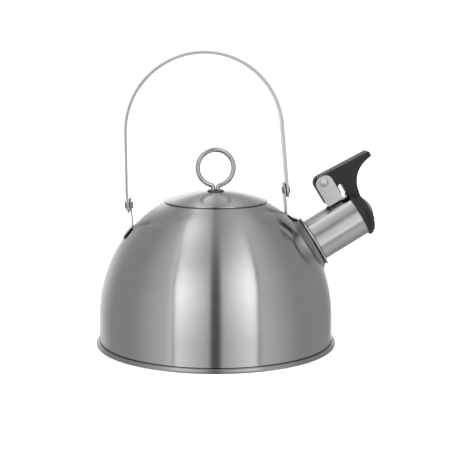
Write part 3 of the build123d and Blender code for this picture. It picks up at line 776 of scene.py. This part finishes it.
bend_tree, given = growth_tree("strip_bent_along_path", {"Path": "Object", "Width way": "Vector"})
bend_line = add(bend_tree, "GeometryNodeObjectInfo", {"Object": given["Path"]})["Geometry"]
bend_line = add(bend_tree, "GeometryNodeMeshToCurve", {"Mesh": bend_line})[0]
flat_spot = add(bend_tree, "GeometryNodeInputPosition")[0]
flat_spot = add(bend_tree, "ShaderNodeSeparateXYZ", {0: flat_spot})
bend_spot = add(bend_tree, "GeometryNodeSampleCurve", {
    "Curves": bend_line, "Length": flat_spot["X"]}, mode="LENGTH", use_all_curves=True)
wide = add(bend_tree, "ShaderNodeVectorMath", {
    0: given["Width way"], "Scale": flat_spot["Y"]}, operation="SCALE")[0]
thick = add(bend_tree, "ShaderNodeVectorMath", {
    0: bend_spot["Tangent"], 1: given["Width way"]}, operation="CROSS_PRODUCT")[0]
thick = add(bend_tree, "ShaderNodeVectorMath", {0: thick, "Scale": flat_spot["Z"]}, operation="SCALE")[0]
bent_spot = add(bend_tree, "ShaderNodeVectorMath", {0: wide, 1: thick}, operation="ADD")[0]
bent_spot = add(bend_tree, "ShaderNodeVectorMath", {
    0: bend_spot["Position"], 1: bent_spot}, operation="ADD")[0]
bent = add(bend_tree, "GeometryNodeSetPosition", {
    "Geometry": given["Geometry"], "Position": bent_spot})[0]
growth_end(bend_tree, bent, given["Material"])

hoop = [(bail_half - bail_radius + bail_radius * cos(a), bail_leg + bail_radius * sin(a))
        for a in np.linspace(0, pi - bail_lean, 120)]
hoop = [(bail_half, -bail_width / 2)] + hoop + [(-bail_half, bail_knee), (-bail_half, -bail_width / 2)]
bail_length = sum(hypot(x - u, h - v) for (x, h), (u, v) in zip(hoop, hoop[1:]))
bail_line = path([hinge + hinge_axis * x + hinge_up * h for x, h in hoop])
bail_path = piece("bail_path", bail_line, bail_steel)
bail_strip = drilled_plate(bail_length, bail_width, bail_thickness, bail_hole)
bail = grown("bail_strip", bail_strip, bend_tree, bail_steel,
             {"Path": bail_path, "Width way": (0, 1, 0)})
bpy.data.objects.remove(bail_path)
break_edges(bail, bail_edge)
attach(bail, "handle")
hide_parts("bail")

# Lid
# The cover is pressed from stainless sheet, with its edge curled down onto the dome. A
# pressed ring, welded below it, centres the lid in the mouth.
lid_radius = 38.2
lid_gap = 0.25
lid_edge = 0.6
lid_rise = 7.0
lid_curl = 0.6
lid_arc = lid_radius * 0.975
skirt_clearance = 0.4
skirt_flange = 7.0
skirt_depth = 10.0
skirt_lip = 0.3
knob_hole = 3.65
cover_radius = (lid_radius**2 + lid_rise**2) / (2 * lid_rise)
cover_foot = dome_height(lid_radius - sheet) + lid_gap
cover_centre = cover_foot + lid_edge + lid_rise - cover_radius


def cover_height(radius, inset=0.0):
    return cover_centre + sqrt((cover_radius - inset) ** 2 - radius**2)


lid_steel = turned_steel("belt_polished_stainless_lid", "#b8b8b8", "#c4c4c4", 0.2, 0.8)
top = [(r, cover_height(r)) for r in np.linspace(knob_hole, lid_arc, 40)]
curl_centre = lid_radius - lid_curl
curl_level = cover_height(curl_centre, lid_curl)
curl_start = asin(curl_centre / (cover_radius - lid_curl))
curl = [(curl_centre + lid_curl * sin(a), curl_level + lid_curl * cos(a))
        for a in np.linspace(curl_start, pi / 2, 8)]
rim = [(lid_radius, cover_foot), (lid_radius - sheet, cover_foot)]
under = [(r, cover_height(r, sheet)) for r in np.linspace(lid_radius - sheet, knob_hole, 30)]
lid = piece("lid_cover", turned(top + curl + rim + under, segments=224), lid_steel, crease=40)
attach(lid, "lid")
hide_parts("lid_shell")

skirt_radius = mouth_radius - skirt_clearance
skirt_foot = cover_height(skirt_radius, sheet) - skirt_depth
flange_edge = skirt_radius - skirt_flange
upper = [(r, cover_height(r, sheet)) for r in np.linspace(skirt_radius, flange_edge, 9)]
lower = [(r, cover_height(r, 2 * sheet)) for r in np.linspace(flange_edge, skirt_radius - sheet, 9)]
lip = [(skirt_radius - sheet, skirt_foot + skirt_lip), (skirt_radius - sheet / 2, skirt_foot),
       (skirt_radius, skirt_foot + skirt_lip)]
skirt = piece("lid_skirt_ring", turned(upper + lower + lip, segments=160), lid_steel, crease=40)
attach(skirt, "lid")
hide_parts("lid_skirt")

# Knob
# A ring bent from stainless wire: both legs go through the cover and are spread below a
# steel washer, and a grey fibre washer lies between the ring and the cover.
wire_steel = sheet_steel("drawn_stainless_wire", "#c4c4c4", "#d0d0d0", 0.13, (0.8, 0.8, 0.8))
wire_radius = 1.7
ring_radius = 13.2
ring_bend = 2.0
ring_stand = 1.7
leg_offset = 1.8
pad_sheet = 0.8
pad_edge = 0.12
backing_radius = 8.5
knob_tail = 4.0
bend_centre = leg_offset + ring_bend
tail_level = cover_height(backing_radius, sheet) - pad_sheet - wire_radius
ring_foot = cover_height(knob_hole) + pad_sheet + ring_stand
ring_level = ring_foot + sqrt((ring_radius + ring_bend) ** 2 - bend_centre**2)
bend_angle = atan2(ring_level - ring_foot, bend_centre)


def arc_points(x, z, radius, first, last, count):
    return [(x + radius * cos(a), 0, z + radius * sin(a)) for a in np.linspace(first, last, count)]


bow = arc_points(0, ring_level, ring_radius, pi / 2, -bend_angle, 64)
leg = arc_points(bend_centre, ring_foot, ring_bend, pi - bend_angle, pi, 14)[1:]
leg += arc_points(bend_centre, tail_level + ring_bend, ring_bend, pi, 1.5 * pi, 14)
leg += [(bend_centre + knob_tail, 0, tail_level)]
half_loop = [(-abs(x), y, z) for x, y, z in bow] + [(-x, y, z) for x, y, z in leg]
loop = half_loop[::-1] + [(-x, y, z) for x, y, z in half_loop[1:]]
knob = grown("knob_wire", path(loop), wire_tree, wire_steel,
             {"Wire radius": wire_radius * mm, "Sides": 24}, crease=60)
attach(knob, "lid")
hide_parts("knob_ring")
grey_fibre = moulded("grey_fibre_washer", "#555453", "#666564", 0.5, 0.3, 0.02)
pad = dressed("knob_washer", "knob_pad", grey_fibre, pad_edge)
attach(pad, "lid")
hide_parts("knob_washer")
backing = dressed("knob_backing", "knob_backing_plate", bracket_steel, pad_edge)
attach(backing, "lid")
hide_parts("knob_backing")

# Whistle lever
# Hub, thumb tab, web and cap are one moulding of black heat-resistant plastic. It turns
# on the rivet of the bracket, and its cap slips over the mouth of the tube.
phenolic = moulded("black_phenolic_moulding", "#1b1b1c", "#232324", 0.42, 0.35, 0.02)
lever = dressed("whistle_lever", "whistle_lever_moulded", phenolic, crease=28)
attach(lever, "whistle")
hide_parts("whistle_lever")

# Whistle
# A domed stainless cup, closed at the back by a flat plate, both with a sound hole. It
# is clipped into the cap of the lever.
disc_edge = 0.12
disc_steel = turned_steel("spun_stainless_whistle", "#bcbcbc", "#cfcfcf", 0.24, 0.5,
                          tuple(spout_root), tuple(spout_axis), line=0.4, run=8.0)
cup = dressed("whistle_dome", "whistle_cup", disc_steel, disc_edge)
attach(cup, "whistle")
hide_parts("whistle_dome")
plate = dressed("whistle_plate", "whistle_back_plate", disc_steel, disc_edge)
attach(plate, "whistle")
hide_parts("whistle_plate")

# Floor
# A wide sheet of white paper that keeps the shadow of the kettle. Its faint fibres are
# drawn 3 mm across to show, and a soft glow lifts it to white where it is seen.
scene = bpy.context.scene
floor_radius = 6.0
paper_fibre = 3.0
paper_glow = 0.55
white, paper_tree = bare_material("white_paper_sweep")
paper_spot = add(paper_tree, "ShaderNodeTexCoord")["Object"]
fibres = add(paper_tree, "ShaderNodeTexNoise", {
    "Vector": paper_spot, "Scale": 1 / (paper_fibre * mm), "Detail": 3.0})[0]
paper = add(paper_tree, "ShaderNodeMix", {
    "Factor": fibres, "A": linear("#f4f4f4"), "B": linear("#f8f8f8")}, data_type="RGBA")["Result"]
plain = add(paper_tree, "ShaderNodeBsdfDiffuse", {"Color": paper})[0]
rays = add(paper_tree, "ShaderNodeLightPath")
seen = add(paper_tree, "ShaderNodeMath", {
    0: rays["Is Camera Ray"], 1: rays["Is Glossy Ray"]}, operation="ADD")[0]
seen = add(paper_tree, "ShaderNodeMath", {
    0: seen, 1: rays["Is Transmission Ray"]}, operation="ADD", use_clamp=True)[0]
glow = add(paper_tree, "ShaderNodeEmission", {"Color": (1, 1, 1, 1), "Strength": paper_glow})[0]
lifted = add(paper_tree, "ShaderNodeAddShader", {0: plain, 1: glow})[0]
paper_shown = add(paper_tree, "ShaderNodeMixShader", {0: seen, 1: plain, 2: lifted})[0]
add(paper_tree, "ShaderNodeOutputMaterial", {"Surface": paper_shown})
floor_shape = bmesh.new()
bmesh.ops.create_circle(floor_shape, cap_ends=True, radius=floor_radius, segments=96)
floor = piece("floor", floor_shape, white)
floor.visible_glossy = False

# Studio
# A soft grey room with a white backdrop. Its lights are placed by the way that a surface
# must face to mirror them to the camera: two tall banks with a dark gap between them and
# dark stands beside them, their spill on the walls, lit sides and a lit ceiling.
yaw = radians(-5)
eye_rise = radians(9)
room_level = 0.34
backdrop_start = -0.93
backdrop_full = -0.965
studio = bpy.data.worlds.new("studio")
scene.world = studio
studio.use_nodes = True
room_tree = studio.node_tree
room_tree.nodes.clear()
way = add(room_tree, "ShaderNodeTexCoord")["Generated"]
toward = (sin(yaw) * cos(eye_rise), -cos(yaw) * cos(eye_rise), sin(eye_rise))
facing = add(room_tree, "ShaderNodeVectorMath", {0: way, 1: toward}, operation="ADD")[0]
facing = add(room_tree, "ShaderNodeVectorMath", {0: facing}, operation="NORMALIZE")[0]
right = add(room_tree, "ShaderNodeVectorMath", {
    0: facing, 1: (cos(yaw), sin(yaw), 0)}, operation="DOT_PRODUCT")["Value"]
front = add(room_tree, "ShaderNodeVectorMath", {
    0: facing, 1: (sin(yaw), -cos(yaw), 0)}, operation="DOT_PRODUCT")["Value"]
# Angles that such a surface faces: up, to the right, and to either side of the camera.
height = add(room_tree, "ShaderNodeSeparateXYZ", {"Vector": facing})["Z"]
lift = add(room_tree, "ShaderNodeMath", {0: height}, operation="ARCSINE")[0]
swing = add(room_tree, "ShaderNodeMath", {0: right, 1: front}, operation="ARCTAN2")[0]
wide_swing = add(room_tree, "ShaderNodeMath", {0: swing}, operation="ABSOLUTE")[0]


def lit(level, *lights):
    """Level with lights added to it, each the product of its steps.

    A step is an angle, the two degrees between which it goes from one value to another,
    those two values, and LINEAR where it isn't eased.
    """
    for steps in lights:
        strength = 1.0
        for angle, first, last, low, high, *kind in steps:
            step = add(room_tree, "ShaderNodeMapRange", {
                "Value": angle, "From Min": radians(first), "From Max": radians(last),
                "To Min": low, "To Max": high}, interpolation_type=kind[0] if kind else "SMOOTHSTEP")[0]
            strength = add(room_tree, "ShaderNodeMath", {0: strength, 1: step}, operation="MULTIPLY")[0]
        level = add(room_tree, "ShaderNodeMath", {0: level, 1: strength}, operation="ADD")[0]
    return level


# The banks widen towards their tops, the left one more. The gap and the stands take light away.
on_left = (swing, -1, 1, 1, 0)
on_right = (swing, -1, 1, 0, 1)
off_middle = lit(wide_swing, [(lift, 8, 22, 0, radians(-1.4))],
                 [on_left, (lift, 30, 50, 0, radians(-2.8))])
bank = [(wide_swing, 2, 3, 0, 1), (wide_swing, 3, 17, 0.21, 0.8, "LINEAR"),
        (off_middle, 19.6, 20.6, 1, 0)]
swell = [(lift, -9, -3, 0.2, 1), (lift, 2, 17, 1, 1.55)]
left_bank = [on_left, *bank, *swell, (lift, 18, 31, 1, 0.5)]
left_top = [on_left, *bank, (lift, 34, 47, 0, 0.3), (lift, 48, 60, 1, 0.1)]
right_bank = [on_right, *bank, *swell, (lift, 22, 35, 1, 0.5), (lift, 32, 52, 1, 0.4)]
spill = [(off_middle, 20, 20.8, 0, 1), (wide_swing, 20, 47, 0.3, 0)]
left_strip = [on_left, (off_middle, 20.8, 21.4, 0, 0.18), (off_middle, 21.8, 24.5, 1, 0)]
gap = [(wide_swing, 2, 3, 1, 0), (lift, 18, 50, -0.25, 0)]
stand = (lift, 25, 45, -0.3, 0)
left_stand = [on_left, (off_middle, 19.6, 20.2, 0, 1), (off_middle, 20.5, 21.2, 1, 0), stand]
right_stand = [on_right, (off_middle, 20.2, 20.8, 0, 1), (off_middle, 21.4, 22.4, 1, 0), stand]
below_top = (lift, 12, 36, 1, 0.35)
left_side = [(swing, -58, -84, 0, 0.55), below_top]
right_side = [(swing, 70, 90, 0, 0.45), below_top]
overhead = (lift, 48, 60, 0, 1)
left_ceiling = [(swing, -40, -84, 0, 0.6), overhead]
right_ceiling = [(swing, 60, 90, 0, 0.35), overhead]
ceiling = [(lift, 58, 72, 0, 0.14)]
room_light = lit(room_level, left_bank, left_top, right_bank, spill, left_strip, gap, left_stand,
                 right_stand, left_side, right_side, left_ceiling, right_ceiling, ceiling)
away = add(room_tree, "ShaderNodeVectorMath", {0: way, 1: toward}, operation="DOT_PRODUCT")["Value"]
backdrop = add(room_tree, "ShaderNodeMapRange", {
    "Value": away, "From Min": backdrop_start, "From Max": backdrop_full})[0]
by_camera = add(room_tree, "ShaderNodeLightPath")["Is Camera Ray"]
white_part = add(room_tree, "ShaderNodeMath", {0: backdrop, 1: by_camera}, operation="MAXIMUM")[0]
room_shown = add(room_tree, "ShaderNodeMix", {
    "Factor": white_part, "A": room_light, "B": 1.0}, data_type="FLOAT")[0]
room = add(room_tree, "ShaderNodeBackground", {"Color": (1, 1, 1, 1), "Strength": room_shown})[0]
add(room_tree, "ShaderNodeOutputWorld", {"Surface": room})

lamp_light = bpy.data.lights.new("overhead_bank", "AREA")
lamp_light.shape = "RECTANGLE"
lamp_light.size = 1.6
lamp_light.size_y = 1.2
lamp_light.energy = 14
lamp = bpy.data.objects.new("overhead_bank", lamp_light)
lamp.location = (-0.3, -0.2, 1.5)
lamp.rotation_euler = Vector((0.3, 0.2, -1.4)).to_track_quat("-Z", "Y").to_euler()
lamp.visible_glossy = False
scene.collection.objects.link(lamp)

# Camera
# Long lens at the height of the upper dome, with the spout turned slightly away.
lens = bpy.data.cameras.new("camera")
lens.sensor_width = 36
lens.lens = 93.69
lens.shift_x = 0.0206
eye = bpy.data.objects.new("camera", lens)
eye.location = (-0.0746, -0.8531, 0.2183)
eye.rotation_euler = (radians(81.4), 0, yaw)
scene.collection.objects.link(eye)
scene.camera = eye
scene.view_settings.view_transform = "Standard"

bpy.context.view_layer.update()
